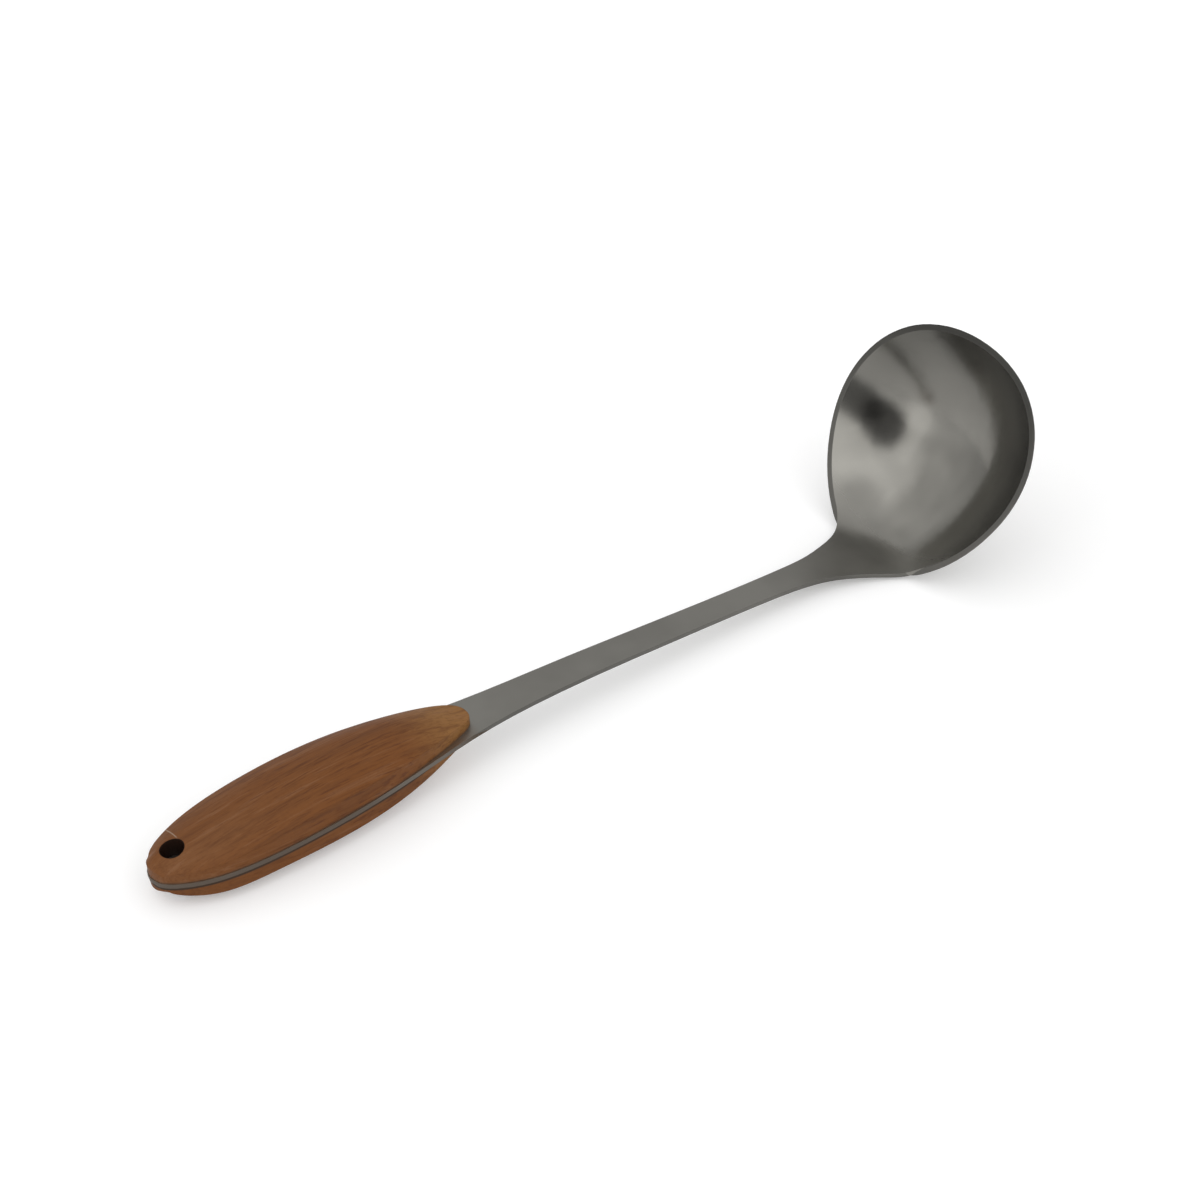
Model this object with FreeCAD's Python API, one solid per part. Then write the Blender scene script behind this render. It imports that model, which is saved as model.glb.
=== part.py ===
# A serving ladle: one pressed steel sheet that is bowl, strap and full tang,
# with a bamboo scale on top of the tang and another under it.
# It is drawn with its tang level, and then set down on the table as it comes to rest.

import FreeCAD, Part
import math
import os

V = FreeCAD.Vector

# Sheet steel
sheet_thickness = 1.5

# Side view of tang and strap, along the sheet's top face from the tail
tang_flat_length = 81.4
arch_length = 79.1
arch_turn = 5.67
strap_length = 59.4
neck_length = 45.8
neck_turn = 9.14

# Half-widths of the sheet, and where along the handle they lie
shoulder_at = 2.0
shoulder_half_width = 6.4
rounding_at = 12.0
rounding_half_width = 10.9
grip_at = 36.0
grip_half_width = 14.3
grip_front_at = 70.0
grip_front_half_width = 12.7
strap_root_at = 104.0
strap_root_half_width = 7.8
strap_taper_at = 140.0
strap_taper_half_width = 5.8
waist_at = 200.0
waist_half_width = 5.0
neck_at = 236.0
neck_half_width = 6.0
flare_at = 250.0
flare_half_width = 9.4
flare_end_half_width = 22.5
flare_pull = 5.0
tail_pull = 8.0

# Bowl: the rim lies in one plane, and its outline is a circle with three soft corners
rim_angle = 57.1
rim_radius = 39.1
rim_corner_share = 0.035
rim_behind_neck = 1.05
bowl_depth = 19.5
bowl_roundness = 0.15
neck_blend = 6.0

# Bamboo scales in plan: the tang's own outline set in, closed by a rounded nose
scale_inset = 0.35
nose_root_at = 86.0
nose_root_inset = 0.9
nose_shoulder_at = 98.0
nose_shoulder_half_width = 6.2
nose_tip_at = 104.4
nose_pull = 4.0

# Bamboo scales in section, at these places along the handle
section_grip_back_at = 30.0
section_grip_at = 62.0

# Height of the upper scale's side wall
upper_wall_tail = 1.2
upper_wall_shoulder = 2.6
upper_wall_rounding = 3.5
upper_wall_grip_back = 4.8
upper_wall_grip = 5.8
upper_wall_nose_root = 4.0
upper_wall_nose_shoulder = 2.8
upper_wall_nose_tip = 2.3

# Height of the upper scale's crown
upper_crown_tail = 1.6
upper_crown_shoulder = 4.9
upper_crown_rounding = 6.7
upper_crown_grip_back = 8.4
upper_crown_grip = 10.0
upper_crown_nose_root = 7.8
upper_crown_nose_shoulder = 4.1
upper_crown_nose_tip = 2.9

# Depth of the lower scale's side wall
lower_wall_tail = 0.6
lower_wall_shoulder = 1.5
lower_wall_rounding = 4.2
lower_wall_grip_back = 4.7
lower_wall_grip = 5.3
lower_wall_nose_root = 3.3
lower_wall_nose_shoulder = 1.4
lower_wall_nose_tip = 1.0

# Depth of the lower scale's crown
lower_crown_tail = 0.9
lower_crown_shoulder = 4.0
lower_crown_rounding = 7.9
lower_crown_grip_back = 8.3
lower_crown_grip = 9.5
lower_crown_nose_root = 6.2
lower_crown_nose_shoulder = 2.2
lower_crown_nose_tip = 1.2

# How full the crowns are across: 2 is an arc, more is flatter with rounder shoulders
crown_power = 2.0

# Hanging hole through both scales and the tang
hole_at = 8.0
hole_radius = 3.5

# Resting on a table
steepest_rest = 10.0
resting_accuracy = 0.02

# How far the crowns are laid out past the scales, and their columns as shares of the half-width
crown_margin = 3.0
crown_overhang_share = 1.06
crown_column_share = 0.53

# How finely the pressed surface is laid out
strap_row_step = 14.0
neck_row_step = 2.0
bowl_row_step = 7.0
column_step = 7.3
sheet_margin = 3.0
neck_zone = 20.0
block_height = 40.0

# How closely a place is found on a curve, and how far apart two places give its direction
reading_accuracy = 1e-7
direction_step = 1e-5

rim_slope = math.radians(rim_angle)
bowl_centre_from_neck = rim_radius - rim_behind_neck
handle_length = tang_flat_length + arch_length + strap_length + neck_length


def side_view(distance):
    "Place and direction of the sheet's top face on the centre line, this far from the tail."
    stretches = (
        (tang_flat_length, 0.0),
        (arch_length, -math.radians(arch_turn)),
        (strap_length, 0.0),
        (neck_length, -math.radians(neck_turn)),
        (handle_length, 0.0),
    )
    x, z, angle, left = min(distance, 0.0), 0.0, 0.0, max(distance, 0.0)
    for length, turn in stretches:
        run = min(left, length)
        bend = turn * run / length
        chord = run
        if bend:
            chord = run * math.sin(bend / 2) / (bend / 2)
        x += chord * math.cos(angle + bend / 2)
        z += chord * math.sin(angle + bend / 2)
        angle += bend
        left -= run
    return x, z, angle


neck_x, neck_z, strap_angle = side_view(handle_length)


def to_rim(x, z):
    "Side-view place measured along the rim plane and square to it, from the neck."
    dx, dz = x - neck_x, z - neck_z
    along = dx * math.cos(rim_slope) + dz * math.sin(rim_slope)
    above = dz * math.cos(rim_slope) - dx * math.sin(rim_slope)
    return along, above


def from_rim(along, across, above):
    x = neck_x + along * math.cos(rim_slope) - above * math.sin(rim_slope)
    z = neck_z + along * math.sin(rim_slope) + above * math.cos(rim_slope)
    return V(x, across, z)


def rim_reach(turn):
    "Inner rim's distance from the bowl's centre, with turn 0 at the tip."
    return rim_radius * (1 - rim_corner_share * math.cos(3 * turn))


def bowl_height(along, across):
    "Height of the bowl's inside over the rim plane, below it within the rim."
    reach = math.hypot(along - bowl_centre_from_neck, across)
    turn = math.atan2(across, along - bowl_centre_from_neck)
    extra = rim_reach(turn) - rim_radius
    # the level lines go from a circle at the bottom to the rim's own outline
    root = math.sqrt(rim_radius ** 2 + 4 * extra * reach)
    level = 2 * reach / (rim_radius + root)
    inner = min(level, 1.0)
    fall = (inner ** 2 + bowl_roundness * inner ** 4) / (1 + bowl_roundness)
    rim_rise = (2 + 4 * bowl_roundness) / (1 + bowl_roundness)
    return bowl_depth * (fall - 1 + rim_rise * (level - inner))


def pressed_height(along, across, strap_height):
    "The strap's flat runs into the bowl with a soft bend where the two meet."
    bowl = bowl_height(along, across)
    apart = abs(strap_height - bowl)
    soft = max(neck_blend - apart, 0.0) ** 2 / (4 * neck_blend)
    return max(strap_height, bowl) + soft


def strap_height_at(along):
    return -along * math.tan(rim_slope - strap_angle)


def steps(start, end, step):
    count = max(int(round((end - start) / step)), 1)
    return [start + (end - start) * number / count for number in range(count + 1)]


def sheet_rows():
    "Rows of the pressed surface as (place along the rim plane, height of the strap there)."
    rows = []
    for distance in steps(-sheet_margin, handle_length - neck_zone, strap_row_step)[:-1]:
        rows.append((distance, None))
    for distance in steps(handle_length - neck_zone, handle_length, neck_row_step)[:-1]:
        rows.append((None, to_rim(*side_view(distance)[:2])))
    bowl_end = bowl_centre_from_neck + rim_radius + sheet_margin
    for along in steps(0.0, bowl_end, bowl_row_step):
        rows.append((None, (along, strap_height_at(along))))
    return rows


def surface_point(row, across):
    distance, rim_place = row
    if rim_place is None:
        x, z, _ = side_view(distance)
        return V(x, across, z)
    along, strap_height = rim_place
    return from_rim(along, across, pressed_height(along, across, strap_height))


def surface_grids():
    "The sheet's top face and its underside, one thickness away along the normals."
    half = rim_radius * (1 + rim_corner_share) + sheet_margin
    columns = steps(-half, half, column_step)
    top = [[surface_point(row, across) for across in columns] for row in sheet_rows()]
    under = []
    for i, line in enumerate(top):
        before = top[max(i - 1, 0)]
        after = top[min(i + 1, len(top) - 1)]
        new_line = []
        for j, point in enumerate(line):
            left = line[max(j - 1, 0)]
            right = line[min(j + 1, len(line) - 1)]
            normal = (after[j] - before[j]).cross(right - left).normalize()
            new_line.append(point - normal * sheet_thickness)
        under.append(new_line)
    return top, under


def smooth_surface(grid):
    surface = Part.BSplineSurface()
    surface.interpolate(grid)
    return surface


def shifted(grid, rise):
    return [[point + V(0, 0, rise) for point in line] for line in grid]


def border_curves(surface):
    first_u, last_u, first_v, last_v = surface.bounds()
    across = [surface.uIso(first_u), surface.uIso(last_u)]
    return across + [surface.vIso(first_v), surface.vIso(last_v)]


def block(upper_grid, lower_grid):
    "Closed solid between two laid-out surfaces."
    upper, lower = smooth_surface(upper_grid), smooth_surface(lower_grid)
    faces = [upper.toShape(), lower.toShape()]
    for above, below in zip(border_curves(upper), border_curves(lower)):
        faces.append(above.makeRuledSurface(below).toShape())
    shell = Part.Shell(faces)
    shell.sewShape()
    solid = Part.Solid(shell)
    if solid.Volume < 0:
        solid.reverse()
    return solid


def plan_spline(points, first_way, last_way):
    "Smooth side line through its points, with its end directions given."
    places = [0.0]
    for a, b in zip(points, points[1:]):
        places.append(places[-1] + math.sqrt(a.distanceToPoint(b)))
    curve = Part.BSplineCurve()
    curve.interpolate(
        Points=points,
        Parameters=places,
        InitialTangent=first_way,
        FinalTangent=last_way,
        Scale=False,
    )
    return curve


def half_width_points():
    "The sheet's side line from the tail to the flare, in plan."
    stations = (
        (0.0, 0.0),
        (shoulder_at, shoulder_half_width),
        (rounding_at, rounding_half_width),
        (grip_at, grip_half_width),
        (grip_front_at, grip_front_half_width),
        (strap_root_at, strap_root_half_width),
        (strap_taper_at, strap_taper_half_width),
        (waist_at, waist_half_width),
        (neck_at, neck_half_width),
        (flare_at, flare_half_width),
    )
    return [V(side_view(distance)[0], width, 0) for distance, width in stations]


def flare_end():
    "Where the flare meets the inner rim, and the rim's direction there, in plan."
    low, high = math.pi / 2, math.pi
    while high - low > reading_accuracy:
        turn = (low + high) / 2
        if rim_reach(turn) * math.sin(turn) > flare_end_half_width:
            low = turn
        else:
            high = turn
    place, beyond = [
        from_rim(bowl_centre_from_neck + rim_reach(a) * math.cos(a), rim_reach(a) * math.sin(a), 0)
        for a in (low, low - direction_step)
    ]
    way = beyond - place
    place.z, way.z = 0, 0
    return place, way.normalize()


def sheet_side():
    place, way = flare_end()
    return plan_spline(half_width_points() + [place], V(0, tail_pull, 0), way * flare_pull)


side_line = sheet_side()


def along_line(curve, x):
    "Second coordinate of a left-to-right curve at x."
    low, high = curve.FirstParameter, curve.LastParameter
    while high - low > reading_accuracy:
        middle = (low + high) / 2
        if curve.value(middle).x < x:
            low = middle
        else:
            high = middle
    return curve.value(low).y


def half_width(distance):
    "Half-width of the sheet at a place along the handle."
    return along_line(side_line, side_view(distance)[0])


def plan_prism(side_curve):
    "Upright block under a plan outline that is the same on both sides."
    side = side_curve.toShape()
    start, end = side_curve.StartPoint, side_curve.EndPoint
    edges = [side, side.mirror(V(0, 0, 0), V(0, 1, 0))]
    for point in (start, end):
        if point.y > reading_accuracy:
            edges.append(Part.makeLine(point, V(point.x, -point.y, 0)))
    wire = Part.Wire(Part.sortEdges(edges)[0])
    face = Part.Face(wire)
    face.translate(V(0, 0, -block_height))
    return face.extrude(V(0, 0, 2 * block_height))


def rim_block():
    "Everything below the rim plane, round the bowl."
    half = rim_radius * (1 + rim_corner_share) + sheet_margin
    length = 2 * half + 2 * neck_blend
    deep = 2 * bowl_depth
    box = Part.makeBox(length, 4 * half, deep, V(-2 * neck_blend, -2 * half, -deep))
    box.rotate(V(0, 0, 0), V(0, 1, 0), -rim_angle)
    box.translate(V(neck_x, 0, neck_z))
    return box


def hole_tool():
    x, z, angle = side_view(hole_at)
    way = V(-math.sin(angle), 0, math.cos(angle))
    start = V(x, 0, z) - way * block_height
    return Part.makeCylinder(hole_radius, 2 * block_height, start, way)


def make_sheet(top, under):
    "Bowl, strap and tang: the pressed sheet cut to its outline and ground flat at the rim."
    blank = block(top, under)
    trimmed = blank.common(plan_prism(side_line).fuse(rim_block()))
    return trimmed.cut(hole_tool()).removeSplitter()


def scale_side():
    "Side line of both bamboo scales in plan, from the round tail to the round nose."
    points = [V(side_view(scale_inset)[0], 0, 0)]
    for distance in (shoulder_at, rounding_at, grip_at, grip_front_at):
        points.append(V(side_view(distance)[0], half_width(distance) - scale_inset, 0))
    root = half_width(nose_root_at) - nose_root_inset
    points.append(V(side_view(nose_root_at)[0], root, 0))
    points.append(V(side_view(nose_shoulder_at)[0], nose_shoulder_half_width, 0))
    points.append(V(side_view(nose_tip_at)[0], 0, 0))
    return plan_spline(points, V(0, tail_pull, 0), V(0, -nose_pull, 0))


def section_line(*stations):
    "One size of the scales as a smooth line along the handle."
    points = [V(distance, size, 0) for distance, size in stations]
    first_way = (points[1] - points[0]).normalize()
    last_way = (points[-1] - points[-2]).normalize()
    return plan_spline(points, first_way, last_way)


def height_line(tail, shoulder, rounding, grip_back, grip, nose_root, nose_shoulder, nose_tip):
    return section_line(
        (0.0, tail),
        (shoulder_at, shoulder),
        (rounding_at, rounding),
        (section_grip_back_at, grip_back),
        (section_grip_at, grip),
        (nose_root_at, nose_root),
        (nose_shoulder_at, nose_shoulder),
        (nose_tip_at, nose_tip),
    )


upper_wall = height_line(
    upper_wall_tail,
    upper_wall_shoulder,
    upper_wall_rounding,
    upper_wall_grip_back,
    upper_wall_grip,
    upper_wall_nose_root,
    upper_wall_nose_shoulder,
    upper_wall_nose_tip,
)
upper_crown = height_line(
    upper_crown_tail,
    upper_crown_shoulder,
    upper_crown_rounding,
    upper_crown_grip_back,
    upper_crown_grip,
    upper_crown_nose_root,
    upper_crown_nose_shoulder,
    upper_crown_nose_tip,
)
lower_wall = height_line(
    lower_wall_tail,
    lower_wall_shoulder,
    lower_wall_rounding,
    lower_wall_grip_back,
    lower_wall_grip,
    lower_wall_nose_root,
    lower_wall_nose_shoulder,
    lower_wall_nose_tip,
)
lower_crown = height_line(
    lower_crown_tail,
    lower_crown_shoulder,
    lower_crown_rounding,
    lower_crown_grip_back,
    lower_crown_grip,
    lower_crown_nose_root,
    lower_crown_nose_shoulder,
    lower_crown_nose_tip,
)


def size_at(line, distance):
    "A size of the scales, carried straight on past the tail and the nose."
    near = min(max(distance, 0.0), nose_tip_at)
    mirrored = 2 * near - distance
    return 2 * along_line(line, near) - along_line(line, mirrored)


def crown_grid(wall_line, crown_line, side):
    "Arched surface over the tang, or under it where side is -1."
    base = 0.0 if side > 0 else -sheet_thickness
    stations = [-crown_margin, shoulder_at, rounding_at, section_grip_back_at, section_grip_at]
    stations += [nose_root_at, nose_shoulder_at, nose_tip_at + crown_margin]
    grid = []
    for distance in stations:
        x, z, angle = side_view(distance)
        wall = size_at(wall_line, distance)
        crown = size_at(crown_line, distance)
        width = half_width(min(max(distance, shoulder_at), strap_root_at))
        row = []
        for share in steps(-crown_overhang_share, crown_overhang_share, crown_column_share):
            rise = wall + (crown - wall) * (1 - abs(share) ** crown_power)
            height = base + side * rise
            row.append(V(x - height * math.sin(angle), share * width, z + height * math.cos(angle)))
        grid.append(row)
    return grid


def make_scale(wall_line, crown_line, side, away, bore):
    "Bamboo scale, seated on the sheet and cut to its outline."
    crown = crown_grid(wall_line, crown_line, side)
    far = shifted(crown, -side * block_height / 2)
    pair = (crown, far) if side > 0 else (far, crown)
    rough = block(*pair).common(plan_prism(scale_side()))
    return rough.cut(away).cut(bore).removeSplitter()


def low_points(shape):
    return shape.tessellate(resting_accuracy)[0]


def lowest(points, turn):
    "Lowest height of some points once they are turned about the Y axis."
    return min(point.z * math.cos(turn) - point.x * math.sin(turn) for point in points)


def resting_turn(handle_points, sheet_points):
    "Turn that sets both the lower scale and the bowl's neck on the table."
    low, high = -math.radians(steepest_rest), math.radians(steepest_rest)
    while high - low > reading_accuracy:
        turn = (low + high) / 2
        if lowest(sheet_points, turn) < lowest(handle_points, turn):
            high = turn
        else:
            low = turn
    return math.degrees(low)


top_grid, under_grid = surface_grids()
bore = hole_tool()
ladle_steel = make_sheet(top_grid, under_grid)
below_top = block(top_grid, shifted(top_grid, -block_height))
above_under = block(shifted(under_grid, block_height), under_grid)
upper_scale = make_scale(upper_wall, upper_crown, 1, below_top, bore)
lower_scale = make_scale(lower_wall, lower_crown, -1, above_under, bore)
pieces = {
    "ladle_steel": ladle_steel,
    "upper_scale": upper_scale,
    "lower_scale": lower_scale,
}

# Down on the table, with the origin on it under the middle of the whole ladle
rest_turn = resting_turn(low_points(lower_scale), low_points(ladle_steel))
points = []
for shape in pieces.values():
    shape.rotate(V(0, 0, 0), V(0, 1, 0), rest_turn)
    points += low_points(shape)
middle_x = (min(p.x for p in points) + max(p.x for p in points)) / 2
table = min(p.z for p in points)
os.makedirs("parts", exist_ok=True)
for name, shape in pieces.items():
    shape.translate(V(-middle_x, 0, -table))
    shape.exportStep("parts/" + name + ".step")
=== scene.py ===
"""Looks of the serving ladle: satin steel, bamboo scales, studio and camera."""

import math

import bpy
import numpy as np
from mathutils import Matrix, Vector


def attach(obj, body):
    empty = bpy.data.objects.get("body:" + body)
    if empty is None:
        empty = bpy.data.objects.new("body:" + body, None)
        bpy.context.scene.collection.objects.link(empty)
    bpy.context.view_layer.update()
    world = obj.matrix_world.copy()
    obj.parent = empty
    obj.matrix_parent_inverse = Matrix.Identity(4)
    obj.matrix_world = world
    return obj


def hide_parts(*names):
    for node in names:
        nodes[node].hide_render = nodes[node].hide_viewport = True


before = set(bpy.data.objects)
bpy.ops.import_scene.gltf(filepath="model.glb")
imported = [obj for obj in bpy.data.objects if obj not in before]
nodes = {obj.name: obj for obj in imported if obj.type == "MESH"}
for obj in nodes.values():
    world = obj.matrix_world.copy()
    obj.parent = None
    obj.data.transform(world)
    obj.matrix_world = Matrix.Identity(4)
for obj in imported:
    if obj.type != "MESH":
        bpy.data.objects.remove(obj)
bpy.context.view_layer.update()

scene = bpy.context.scene

# All lengths and places are in metres, in the frame of the resting ladle

# Camera
camera_place = Vector((-0.3135, -0.4283, 0.4390))
camera_aim = Vector((0.0167, 0.0244, 0.010))
camera_roll = math.radians(-0.81)
camera_view = math.radians(30.0)
camera_clip = 0.01

# Floor
floor_size = 60.0
floor_height = -0.0002
floor_glow = 0.26

# Colours, linear
steel_light = (0.250, 0.243, 0.222, 1.0)
steel_dark = (0.205, 0.199, 0.181, 1.0)
edge_light = (0.170, 0.160, 0.138, 1.0)
edge_oiled = (0.080, 0.058, 0.041, 1.0)
top_oiled = (0.125, 0.080, 0.050, 1.0)
# Rim and strap sides: the steel's colours darkened as painted shade
rim_painted_shade_pale = (0.150, 0.146, 0.134, 1.0)
rim_painted_shade_deep = (0.110, 0.107, 0.098, 1.0)
# Bamboo: the nose's lighter colour is painted light
bamboo_painted_light_nose = (0.238, 0.110, 0.032, 1.0)
bamboo_pale = (0.176, 0.070, 0.023, 1.0)
bamboo_mid = (0.160, 0.054, 0.011, 1.0)
bamboo_deep = (0.112, 0.040, 0.012, 1.0)
bamboo_bright = (0.225, 0.105, 0.048, 1.0)
bamboo_streak = (0.075, 0.022, 0.006, 1.0)
bamboo_shadow_under_tang = (0.040, 0.022, 0.012, 1.0)
bamboo_stain = (0.115, 0.080, 0.055, 1.0)
hole_painted_shade = (0.020, 0.008, 0.004, 1.0)
pale_line_colour = (0.34, 0.25, 0.18, 1.0)
floor_colour = (0.80, 0.80, 0.80, 1.0)
white = (1.0, 1.0, 1.0, 1.0)

# Studio: the way to the middle of each light or dim shape that the steel mirrors
bright_side = (-0.40, -0.55, 0.73)
low_window = (-0.975, -0.12, 0.20)
camera_side = (-0.73, -0.53, 0.43)
camera_low = (-0.59, -0.76, 0.26)
overhead = (-0.05, -0.22, 0.97)

# Dim shapes: way, cosines at which each starts and is full, and the light left in it
dim_shapes = (
    (camera_side, 0.935, 0.975, 0.10),
    (camera_low, 0.95, 0.985, 0.18),
    (overhead, 0.91, 0.995, 0.6),
)

# Handle
hole_centre = Vector((-0.1464, 0.0, 0.0081))
hole_axis = Vector((-0.038241, 0.0, 0.999269))
hole_radius = 0.0035
tang_half = 0.00075
nose_x = -0.0501

# The tail's new outline in plan
still_radius = 0.0041
tail_fullness = 0.06
outline_steps = 60

# Strap and bowl
flare = (0.070, 0.095)
bowl_x = 0.110
bowl_entry = (bowl_x, 0.126)
bowl_heights = (0.025, 0.064)
rim_normal = Vector((-0.86, 0.0, 0.51))
rim_tolerance = 0.0005

# Steel: brushing, and where the wood's oil has stained it
brushing = (30.0, 420.0, 420.0)
oiled_x = -0.0590
edge_clean = (-0.100, oiled_x)
rim_soft_edge = 0.0006
brushing_depth = 0.00001

# Wood: noise scales along the handle, across it and up, and the fibres' depth
broad_grain = (14.0, 60.0, 60.0)
fibre_grain = (60.0, 2100.0, 1300.0)
dash_grain = (90.0, 1500.0, 900.0)
strand_grain = (22.0, 420.0, 300.0)
pore_scale = 900.0
fibre_depth = 0.00006
wood_soft_edge = 0.0005
wood_shine = 0.18
lower_seed = 0.37

# Wood: marks, painted light and painted shade, and where they start and end
smooth_tail = (-0.132, -0.112)
painted_light_nose_span = (-0.078, -0.056)
stain_heights = (tang_half, tang_half + 0.0016)
shadow_under_tang_heights = (tang_half + 0.0002, tang_half + 0.0006)
crisp_heights = (0.0012, 0.0016)
hole_edge = (1.012 * hole_radius, 1.004 * hole_radius)
pale_line_x = -0.14375
pale_line_halves = (0.00010, 0.00026)
pale_line_start = (0.0020, 0.0035)
pale_line_end = (0.0100, 0.0090)

# Where most of a noise's values lie, and where nearly all of them lie
most = (0.35, 0.65)
nearly_all = (0.3, 0.7)


class Nodes:
    "A node tree that is written from its texture to its shader."

    def __init__(self, name, world=False):
        kinds = bpy.data.worlds if world else bpy.data.materials
        self.block = kinds.new(name)
        self.block.use_nodes = True
        self.tree = self.block.node_tree
        self.shader = self.tree.nodes["Background" if world else "Principled BSDF"]
        self.place = self.add("ShaderNodeTexCoord").outputs["Generated" if world else "Object"]

    def add(self, kind, inputs=None, **settings):
        node = self.tree.nodes.new(kind)
        for key, value in settings.items():
            setattr(node, key, value)
        for key, value in (inputs or {}).items():
            self.feed(node.inputs[key], value)
        return node

    def feed(self, socket, value):
        if isinstance(value, bpy.types.NodeSocket):
            self.tree.links.new(value, socket)
        else:
            socket.default_value = value

    def put(self, **sockets):
        "Set sockets of the shader, with _ for each space in their names."
        for name, value in sockets.items():
            self.feed(self.shader.inputs[name.replace("_", " ")], value)

    def mapped(self, vector, **changes):
        "Coordinates with a Location added, or a Scale for each axis."
        return self.add("ShaderNodeMapping", {"Vector": vector, **changes}).outputs["Vector"]

    def noise(self, vector, scale=1.0, detail=2.0, roughness=0.5, distortion=0.0):
        inputs = {
            "Vector": vector,
            "Scale": scale,
            "Detail": detail,
            "Roughness": roughness,
            "Distortion": distortion,
        }
        return self.add("ShaderNodeTexNoise", inputs).outputs["Fac"]

    def range(self, value, low, high, to_low=0.0, to_high=1.0, smooth=False):
        kind = "SMOOTHSTEP" if smooth else "LINEAR"
        inputs = {
            "Value": value,
            "From Min": low,
            "From Max": high,
            "To Min": to_low,
            "To Max": to_high,
        }
        node = self.add("ShaderNodeMapRange", inputs, interpolation_type=kind)
        return node.outputs["Result"]

    def mix(self, factor, first, second, blend="MIX", kind="RGBA"):
        node = self.add("ShaderNodeMix", data_type=kind, blend_type=blend)
        self.feed(node.inputs["Factor"], factor)
        self.feed(node.inputs["A"], first)
        self.feed(node.inputs["B"], second)
        return node.outputs["Result"]

    def math(self, operation, *values):
        node = self.add("ShaderNodeMath", dict(enumerate(values)), operation=operation)
        return node.outputs["Value"]

    def vector(self, operation, *values, result="Vector"):
        node = self.add("ShaderNodeVectorMath", dict(enumerate(values)), operation=operation)
        return node.outputs[result]

    def axis(self, letter):
        "One of the object coordinates."
        return self.add("ShaderNodeSeparateXYZ", {"Vector": self.place}).outputs[letter]

    def towards(self, way):
        "How much a direction of the world points the given way, from -1 to 1."
        return self.vector("DOT_PRODUCT", self.place, Vector(way).normalized(), result="Value")

    def seen_or_mirrored(self, strength):
        "A strength for the camera, for reflections and for what is seen through glass."
        path = self.add("ShaderNodeLightPath").outputs
        rays = self.math("ADD", path["Is Camera Ray"], path["Is Glossy Ray"])
        rays = self.math("ADD", rays, path["Is Transmission Ray"])
        return self.math("MULTIPLY", self.math("MINIMUM", rays, 1.0), strength)

    def from_hole(self):
        "Distance from the hanging hole's middle line."
        offset = self.vector("SUBTRACT", self.place, hole_centre)
        moment = self.vector("CROSS_PRODUCT", offset, hole_axis)
        return self.vector("LENGTH", moment, result="Value")

    def from_tang_middle(self):
        "Distance from the tang's middle plane, above it or below it."
        offset = self.vector("SUBTRACT", self.place, hole_centre)
        height = self.vector("DOT_PRODUCT", offset, hole_axis, result="Value")
        return self.math("ABSOLUTE", height)

    def softened(self, radius, where=1.0):
        "Normals that round the edges in the shading, as far as a mask lets them."
        plain = self.add("ShaderNodeNewGeometry").outputs["Normal"]
        rounded = self.add("ShaderNodeBevel", {"Radius": radius}, samples=4).outputs["Normal"]
        return self.mix(where, plain, rounded, kind="VECTOR")

    def bump(self, height, distance, strength, normal=None):
        "Bump of the given depth, on the surface's own normals or on others."
        inputs = {"Height": height, "Distance": distance, "Strength": strength}
        if normal is not None:
            inputs["Normal"] = normal
        self.put(Normal=self.add("ShaderNodeBump", inputs).outputs["Normal"])


def steel_finish(n, light, dark, rough, spread, normal=None):
    "Cloudy tone and fine brushing, for the sheet's faces and for its cut edges."
    clouds = n.noise(n.place, scale=28.0, detail=3.0, roughness=0.55)
    patchy = n.noise(n.place, scale=55.0, detail=4.0, roughness=0.6)
    brushed = n.noise(n.mapped(n.place, Scale=brushing), detail=3.0)
    colour = n.mix(n.range(clouds, *most), dark, light)
    # Painted reflection: the colour darkens towards the top of the bowl, for the dim surroundings
    # that the far wall mirrors
    painted_dark_reflection = n.range(n.axis("Z"), *bowl_heights, 1.0, 0.50)
    wear = n.math("ADD", n.math("MULTIPLY", patchy, 0.6), n.math("MULTIPLY", brushed, 0.4))
    n.put(Base_Color=n.mix(1.0, colour, painted_dark_reflection, blend="MULTIPLY"))
    n.put(Metallic=n.range(n.axis("X"), oiled_x, nose_x, 0.20, 1.0))
    n.put(Roughness=n.math("ADD", rough, n.range(wear, *nearly_all, -spread, spread)))
    n.bump(brushed, brushing_depth, 0.2, normal)


def satin_steel():
    "Stainless steel, brushed along the strap and smoother in the bowl."
    n = Nodes("satin_steel")
    x = n.axis("X")
    on_strap = n.range(x, *flare, 0.36, 0.50)
    on_strap = n.math("MULTIPLY", on_strap, n.range(x, *bowl_entry, 1.0, 0.0))
    in_bowl = n.range(n.axis("Z"), *bowl_heights, 0.185, 0.220)
    rough = n.math("MAXIMUM", on_strap, in_bowl)
    oiled = n.range(x, oiled_x, nose_x, 1.0, 0.0)
    light = n.mix(oiled, steel_light, top_oiled)
    dark = n.mix(oiled, steel_dark, top_oiled)
    steel_finish(n, light, dark, rough, 0.03)
    return n.block


def rim_steel():
    "The bowl's rim and the strap's sides, ground flat and darker than the sheet's faces."
    n = Nodes("rim_steel_painted_shade")
    steel_finish(n, rim_painted_shade_pale, rim_painted_shade_deep, 0.34, 0.04, n.softened(rim_soft_edge))
    return n.block


def cut_steel():
    "The sheet's edge between the scales, dull and stained by the wood's oil."
    n = Nodes("dull_steel_edge")
    clean = n.range(n.axis("X"), *edge_clean, smooth=True)
    steel_finish(n, n.mix(clean, edge_oiled, edge_light), edge_oiled, 0.50, 0.08)
    return n.block


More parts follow.
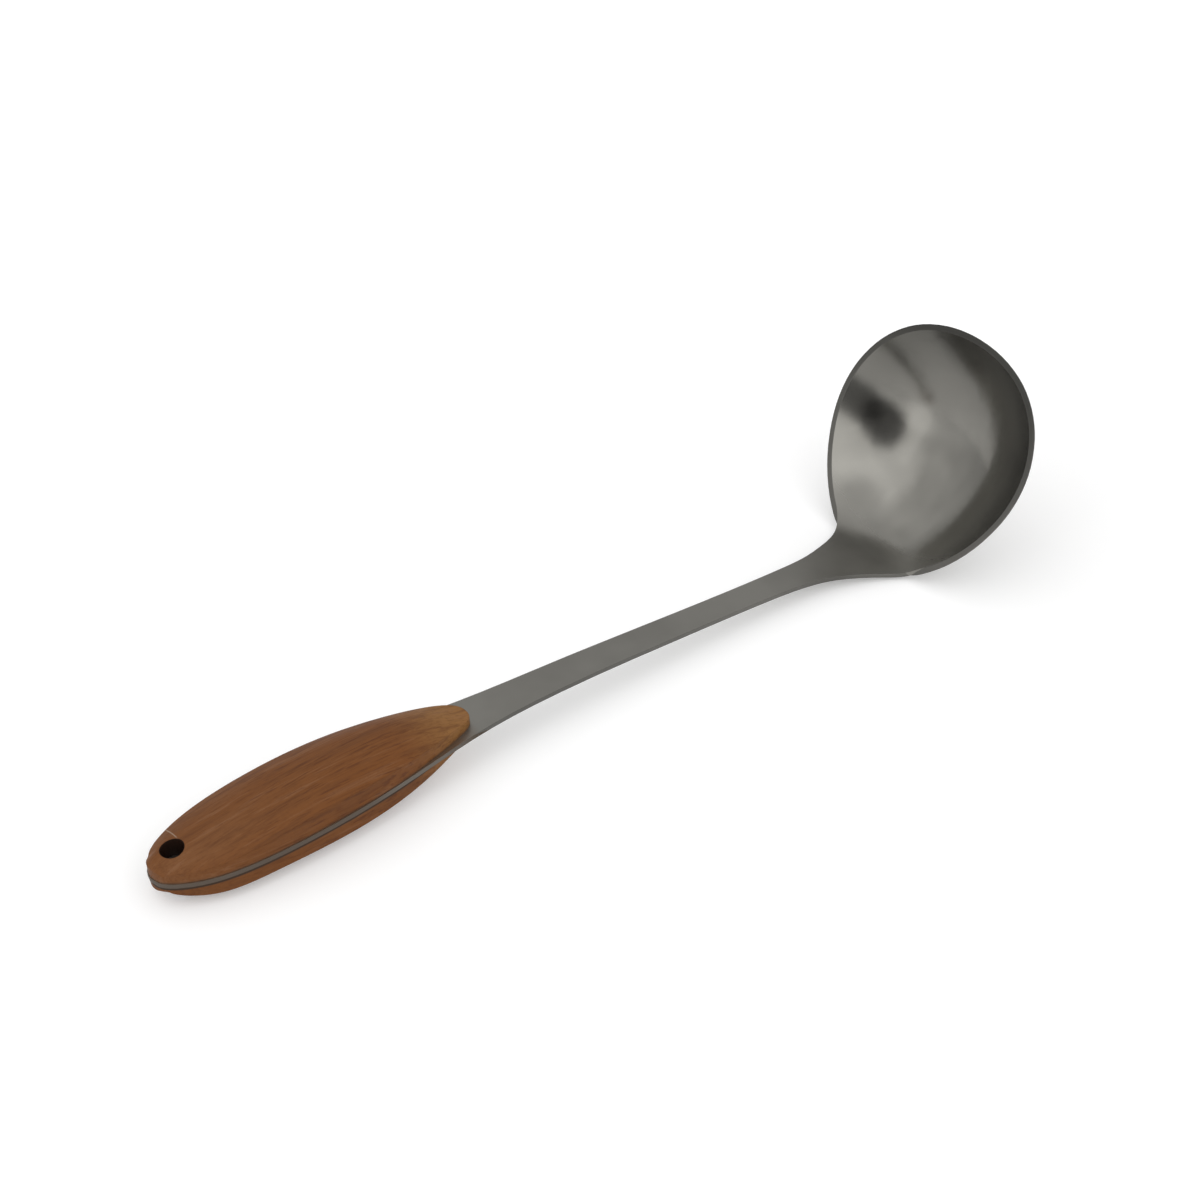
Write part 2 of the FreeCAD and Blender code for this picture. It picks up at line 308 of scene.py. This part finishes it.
def wood_colour(n, place, fibre):
    """Pale and deep strands, fine fibres and pores, short dark dashes between the ends, and
    painted light towards the nose.
    """
    x = n.axis("X")
    broad = n.noise(n.mapped(place, Scale=broad_grain), detail=3.0, distortion=0.3)
    dashes = n.noise(n.mapped(place, Scale=dash_grain), detail=2.0, roughness=0.7)
    strands = n.noise(n.mapped(place, Scale=strand_grain), detail=3.0, roughness=0.6)
    pores = n.noise(n.place, scale=pore_scale, detail=2.0)
    nose = n.range(x, *painted_light_nose_span, smooth=True)
    middle = n.range(x, *smooth_tail, smooth=True)
    middle = n.math("MULTIPLY", middle, n.math("SUBTRACT", 1.0, nose))
    dashed = n.range(dashes, 0.54, 0.66, smooth=True)
    dashed = n.math("MULTIPLY", dashed, n.range(middle, 0.0, 1.0, 0.05, 0.60))

    colour = n.mix(n.range(broad, *most), bamboo_mid, bamboo_pale)
    colour = n.mix(n.math("MULTIPLY", middle, 0.6), colour, bamboo_mid)
    # Painted light: the bamboo turns lighter towards the nose, where its top catches more light
    colour = n.mix(nose, colour, bamboo_painted_light_nose)
    colour = n.mix(n.range(strands, 0.44, 0.34, 0.0, 0.40), colour, bamboo_bright)
    colour = n.mix(n.range(strands, 0.50, 0.66, 0.0, 0.65), colour, bamboo_deep)
    colour = n.mix(n.range(fibre, 0.50, 0.75, 0.0, 0.45), colour, bamboo_streak)
    colour = n.mix(n.range(pores, 0.55, 0.75, 0.0, 0.30), colour, bamboo_deep)
    return n.mix(dashed, colour, bamboo_streak)


def tang_mark(n, colour, above_tang):
    """A grey stain above the steel, or a thin dark painted shadow under it."""
    height = n.from_tang_middle()
    if above_tang:
        return n.mix(n.range(height, *stain_heights, 0.70, 0.0, smooth=True), colour, bamboo_stain)
    # Painted shadow on the lower scale, just under the steel's edge
    return n.mix(n.range(height, *shadow_under_tang_heights, 1.0, 0.0, smooth=True), colour, bamboo_shadow_under_tang)


def pale_line(n, colour):
    """A pale thin line from the far edge to the hole."""
    y = n.axis("Y")
    beside = n.math("ABSOLUTE", n.math("SUBTRACT", n.axis("X"), pale_line_x))
    thin = n.range(beside, *pale_line_halves, 0.65, 0.0, smooth=True)
    length = n.range(y, *pale_line_start, smooth=True)
    length = n.math("MULTIPLY", length, n.range(y, *pale_line_end))
    return n.mix(n.math("MULTIPLY", thin, length), colour, pale_line_colour)


def bamboo(name, seed, above_tang):
    """Oiled bamboo with long fine fibres, its marks, painted light and shade, and painted shade in
    the hanging hole.
    """
    n = Nodes(name)
    place = n.mapped(n.place, Location=(seed, seed, 0.0))
    fibre = n.noise(n.mapped(place, Scale=fibre_grain), detail=3.0, roughness=0.6)
    colour = wood_colour(n, place, fibre)
    colour = tang_mark(n, colour, above_tang)
    if above_tang:
        colour = pale_line(n, colour)
    # Painted shade: the hanging hole's wall is coloured nearly black
    colour = n.mix(n.range(n.from_hole(), *hole_edge), colour, hole_painted_shade)
    clear_of_tang = n.range(n.from_tang_middle(), *crisp_heights)
    n.put(Base_Color=colour, Specular_IOR_Level=wood_shine)
    n.put(Roughness=n.range(fibre, *nearly_all, 0.54, 0.66))
    n.bump(fibre, fibre_depth, 0.5, n.softened(wood_soft_edge, clear_of_tang))
    return n.block


def seen_from_hole(points):
    "Angles from the tail's direction, and distances, of points in plan."
    behind = hole_centre.x - points[:, 0]
    aside = np.abs(points[:, 1])
    return np.arctan2(aside, behind), np.hypot(aside, behind)


def solid_outline():
    "The tail's outline as the solids have it: the tang's points, but for the hole's own edge."
    last_x = hole_centre.x + tang_half
    vertices = nodes["ladle_steel"].data.vertices
    angles, reaches = seen_from_hole(np.array([v.co for v in vertices if v.co.x < last_x]))
    outer = reaches > still_radius
    order = np.argsort(angles[outer])
    return angles[outer][order], reaches[outer][order]


def round_outline(length, half_width):
    "The tail's outline as the photograph shows it: a parabola that meets the solids' sides."
    share = np.linspace(0.0, 1.0, outline_steps) ** 2
    width = half_width * np.sqrt(share) * (1.0 + tail_fullness * (1.0 - share))
    return seen_from_hole(np.column_stack([hole_centre.x - length * (1.0 - share), width]))


def round_tail(mesh):
    "Draw the tail's blunt corners in, and leave the hole and all in front of it alone."
    abeam = math.pi / 2.0
    solid = solid_outline()
    rounded = round_outline(np.interp(0.0, *solid), np.interp(abeam, *solid))
    for vertex in mesh.vertices:
        angles, reaches = seen_from_hole(np.array([vertex.co]))
        angle, reach = angles[0], reaches[0]
        if angle > abeam or reach < still_radius:
            continue
        new = np.interp(angle, *rounded) - still_radius
        old = np.interp(angle, *solid) - still_radius
        moved = still_radius + (reach - still_radius) * new / old
        vertex.co.x = hole_centre.x + (vertex.co.x - hole_centre.x) * moved / reach
        vertex.co.y *= moved / reach


def rounded_piece(node, name):
    "A copy of a node with the round tail, which is shown instead of it."
    mesh = nodes[node].data.copy()
    mesh.name = name
    round_tail(mesh)
    piece = bpy.data.objects.new(name, mesh)
    scene.collection.objects.link(piece)
    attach(piece, "root")
    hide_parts(node)
    return piece


def dress(piece, material, *special):
    "Give a piece its material, and others to the faces that pass their test."
    mesh = piece.data
    mesh.materials.clear()
    for each in (material, *(pair[0] for pair in special)):
        mesh.materials.append(each)
    for face in mesh.polygons:
        passed = [index for index, pair in enumerate(special, 1) if pair[1](face)]
        face.material_index = passed[0] if passed else 0


def is_tang_edge(face):
    "The sheet's narrow side, as far as the scales reach."
    return abs(face.normal.z) < 0.5 and face.center.x < nose_x


def is_rim_or_strap_side(face):
    "The bowl's rim, which lies in one slanting plane, or a narrow side of the strap."
    in_plane = abs(face.center.dot(rim_normal) - rim_level) < rim_tolerance
    on_rim = in_plane and face.normal.dot(rim_normal) > 0.99 and face.center.x > bowl_x
    on_side = abs(face.normal.z) < 0.5 and nose_x < face.center.x < bowl_x
    return on_rim or on_side


def make_floor():
    "A wide white floor, just under the ladle."
    bpy.ops.mesh.primitive_plane_add(size=floor_size, location=(0.0, 0.0, floor_height))
    floor = bpy.context.object
    floor.name = "floor"
    n = Nodes("floor_white")
    n.put(Base_Color=floor_colour, Roughness=0.9)
    n.put(Emission_Color=white, Emission_Strength=n.seen_or_mirrored(floor_glow))
    floor.data.materials.append(n.block)


def make_light():
    "A soft bright side with a slight unevenness, the dim shapes and a low window."
    n = Nodes("studio", world=True)
    high = n.towards(bright_side)
    uneven = n.noise(n.place, scale=2.2, detail=1.0)
    strength = n.range(high, -0.3, 0.5, 0.62, 1.0)
    strength = n.math("ADD", strength, n.range(high, 0.6, 0.88, 0.0, 0.60, smooth=True))
    strength = n.math("MULTIPLY", strength, n.range(uneven, *most, 0.85, 1.15))
    for way, start, full, left in dim_shapes:
        shape = n.range(n.towards(way), start, full, 1.0, left, smooth=True)
        strength = n.math("MULTIPLY", strength, shape)
    window = n.range(n.towards(low_window), 0.965, 0.998, 0.0, 0.75, smooth=True)
    n.put(Color=white, Strength=n.math("ADD", strength, window))
    scene.world = n.block


def make_camera():
    "The photograph's camera."
    data = bpy.data.cameras.new("camera")
    data.angle = camera_view
    data.clip_start = camera_clip
    camera = bpy.data.objects.new("camera", data)
    scene.collection.objects.link(camera)
    way = (camera_aim - camera_place).to_track_quat("-Z", "Y").to_matrix()
    roll = Matrix.Rotation(camera_roll, 3, "Z")
    camera.matrix_world = Matrix.Translation(camera_place) @ (way @ roll).to_4x4()
    scene.camera = camera


# The three pieces
sheet = rounded_piece("ladle_steel", "steel_sheet")
upper = rounded_piece("upper_scale", "bamboo_above")
lower = rounded_piece("lower_scale", "bamboo_below")

# Their materials
rim_level = max(sheet.data.vertices, key=lambda v: v.co.z).co.dot(rim_normal)
dress(sheet, satin_steel(), (cut_steel(), is_tang_edge), (rim_steel(), is_rim_or_strap_side))
dress(upper, bamboo("upper_bamboo_wood", 0.0, True))
dress(lower, bamboo("lower_bamboo_wood", lower_seed, False))

# Everything round them
make_floor()
make_light()
make_camera()
scene.view_settings.view_transform = "Standard"
